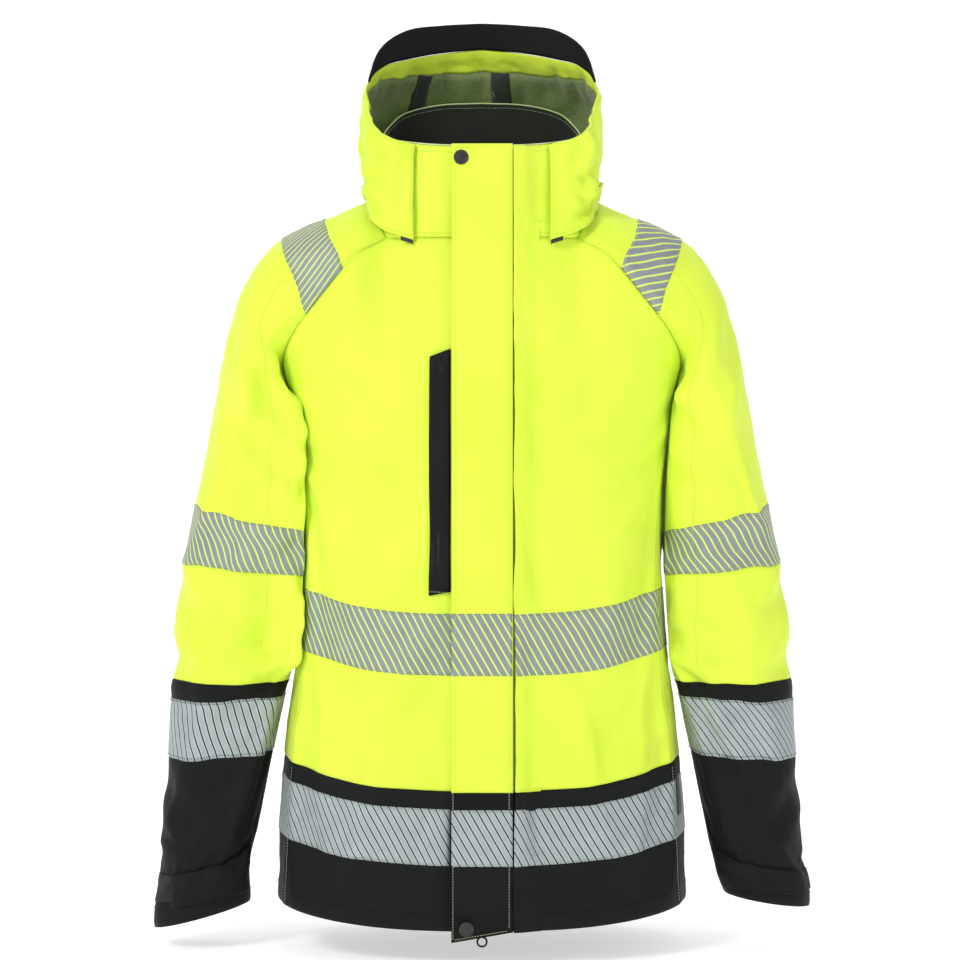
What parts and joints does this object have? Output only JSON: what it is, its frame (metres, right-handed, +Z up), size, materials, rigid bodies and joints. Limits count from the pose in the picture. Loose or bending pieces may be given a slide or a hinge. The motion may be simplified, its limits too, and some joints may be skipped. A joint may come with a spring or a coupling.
{
  "type": "hooded high-visibility coat",
  "caption": "Hooded waterproof work coat in high-visibility yellow and black with segmented reflective bands, storm flap, two-way zip, raglan sleeves and cuff tabs.",
  "frame": {"origin": "inside top of the hang loop at the back of the neck, where a hook carries the coat", "axes": "+Z up towards the hood, -Y the way the zip faces, +X towards the wearer's left sleeve"},
  "size_m": [0.6846, 0.2622, 0.9524],
  "materials": {
    "yellow_shell": "matt laminated polyester",
    "black_shell": "matt laminated polyester",
    "reflective_tape": "silver segmented transfer film",
    "dark_lining": "smooth woven lining",
    "hood_lining": "printed inner face of the laminate",
    "binding": "folded edge tape",
    "hook_and_tape": "woven tape with hooks or loops",
    "dark_metal": "dark enamel",
    "dark_plastic": "moulded"
  },
  "bodies": {
    "coat": {"left_front_panel": "yellow_shell", "right_front_panel": "yellow_shell", "left_front_hem": "black_shell", "right_front_hem": "black_shell", "back_panel": "yellow_shell", "back_hem": "black_shell", "body_band": "reflective_tape", "hem_band": "reflective_tape", "side_label": "black_shell", "left_shoulder_cap": "yellow_shell", "right_shoulder_cap": "yellow_shell", "shoulder_tapes": "reflective_tape", "collar_outer": "yellow_shell", "collar_lining": "dark_lining", "collar_binding": "binding", "hang_loop": "black_shell", "hood_neck": "yellow_shell", "hood_zip_ends": "black_shell", "flap_seam": "yellow_shell", "front_loop_strips": "hook_and_tape", "front_snap_studs": "dark_plastic", "zip_tapes": "hook_and_tape", "zip_teeth": "dark_plastic", "pocket_welt": "black_shell", "pocket_bag": "dark_lining", "pocket_zip_tapes": "hook_and_tape", "pocket_zip_teeth": "dark_plastic"},
    "storm_flap": {"flap_upper": "yellow_shell", "flap_lower": "black_shell", "flap_bands": "reflective_tape", "flap_hook_strips": "hook_and_tape", "flap_snaps": "dark_plastic"},
    "upper_slider": {"upper_slider": "dark_metal"},
    "upper_pull": {"upper_pull": "dark_metal"},
    "lower_slider": {"lower_slider": "dark_metal"},
    "ring_pull": {"ring_pull": "dark_metal"},
    "pocket_slider": {"pocket_slider": "dark_metal"},
    "hood": {"hood_crown": "yellow_shell", "hood_lining": "hood_lining", "brow_facing": "yellow_shell", "hood_seam_tapes": "hook_and_tape", "brim": "black_shell"},
    "left_upper_arm": {"left_upper_sleeve": "yellow_shell", "left_upper_sleeve_band": "reflective_tape"},
    "left_forearm": {"left_elbow_piece": "yellow_shell", "left_lower_sleeve": "black_shell", "left_wrist_band": "reflective_tape", "left_cuff_hem": "black_shell", "left_loop_patch": "hook_and_tape"},
    "left_tab": {"left_cuff_tab": "black_shell", "left_hook_patch": "hook_and_tape"},
    "right_upper_arm": {"right_upper_sleeve": "yellow_shell", "right_upper_sleeve_band": "reflective_tape"},
    "right_forearm": {"right_elbow_piece": "yellow_shell", "right_lower_sleeve": "black_shell", "right_wrist_band": "reflective_tape", "right_cuff_hem": "black_shell", "right_loop_patch": "hook_and_tape"},
    "right_tab": {"right_cuff_tab": "black_shell", "right_hook_patch": "hook_and_tape"}
  },
  "joints": [
    {"name": "left_shoulder_raise", "type": "hinge", "parent": "coat", "child": "left_upper_arm", "pos_m": [0.2742, -0.047, -0.1605], "axis": [0, -1, 0], "range_deg": [0, 50]},
    {"name": "left_elbow_bend", "type": "hinge", "parent": "left_upper_arm", "child": "left_forearm", "pos_m": [0.2605, -0.1102, -0.443], "axis": [-0.9933, 0, -0.1155], "range_deg": [0, 65]},
    {"name": "left_tab_open", "type": "hinge", "parent": "left_forearm", "child": "left_tab", "pos_m": [0.24582, -0.07981, -0.71409], "axis": [0.2788, -0.0059, -0.9603], "range_deg": [0, 70]},
    {"name": "right_shoulder_raise", "type": "hinge", "parent": "coat", "child": "right_upper_arm", "pos_m": [-0.2742, -0.047, -0.1605], "axis": [0, 1, 0], "range_deg": [0, 50]},
    {"name": "right_elbow_bend", "type": "hinge", "parent": "right_upper_arm", "child": "right_forearm", "pos_m": [-0.2605, -0.1102, -0.443], "axis": [-0.9933, 0, 0.1155], "range_deg": [0, 65]},
    {"name": "right_tab_open", "type": "hinge", "parent": "right_forearm", "child": "right_tab", "pos_m": [-0.24236, -0.07985, -0.71661], "axis": [0.0091, 0.005, 0.9999], "range_deg": [0, 70]},
    {"name": "flap_open", "type": "hinge", "parent": "coat", "child": "storm_flap", "pos_m": [0.0313, -0.17477, -0.36298], "axis": [0, 0.0366, 0.9993], "range_deg": [0, 150]},
    {"name": "upper_slider_down", "type": "slide", "parent": "coat", "child": "upper_slider", "axis": [0, -0.0366, -0.9993], "range_m": [0, 0.5]},
    {"name": "upper_pull_swing", "type": "hinge", "parent": "upper_slider", "child": "upper_pull", "pos_m": [0, -0.15497, 0.01385], "axis": [-1, 0, 0], "range_deg": [0, 5]},
    {"name": "lower_slider_up", "type": "slide", "parent": "coat", "child": "lower_slider", "axis": [0, 0.0366, 0.9993], "range_m": [0, 0.2]},
    {"name": "ring_pull_swing", "type": "hinge", "parent": "lower_slider", "child": "ring_pull", "pos_m": [0, -0.18251, -0.73864], "axis": [-1, 0, 0], "range_deg": [0, 6]},
    {"name": "pocket_slider_down", "type": "slide", "parent": "coat", "child": "pocket_slider", "axis": [0, -0.0366, -0.9993], "range_m": [0, 0.2]},
    {"name": "hood_tilt_back", "type": "hinge", "parent": "coat", "child": "hood", "pos_m": [0, 0.069, 0.0155], "axis": [-1, 0, 0], "range_deg": [0, 25]}
  ]
}
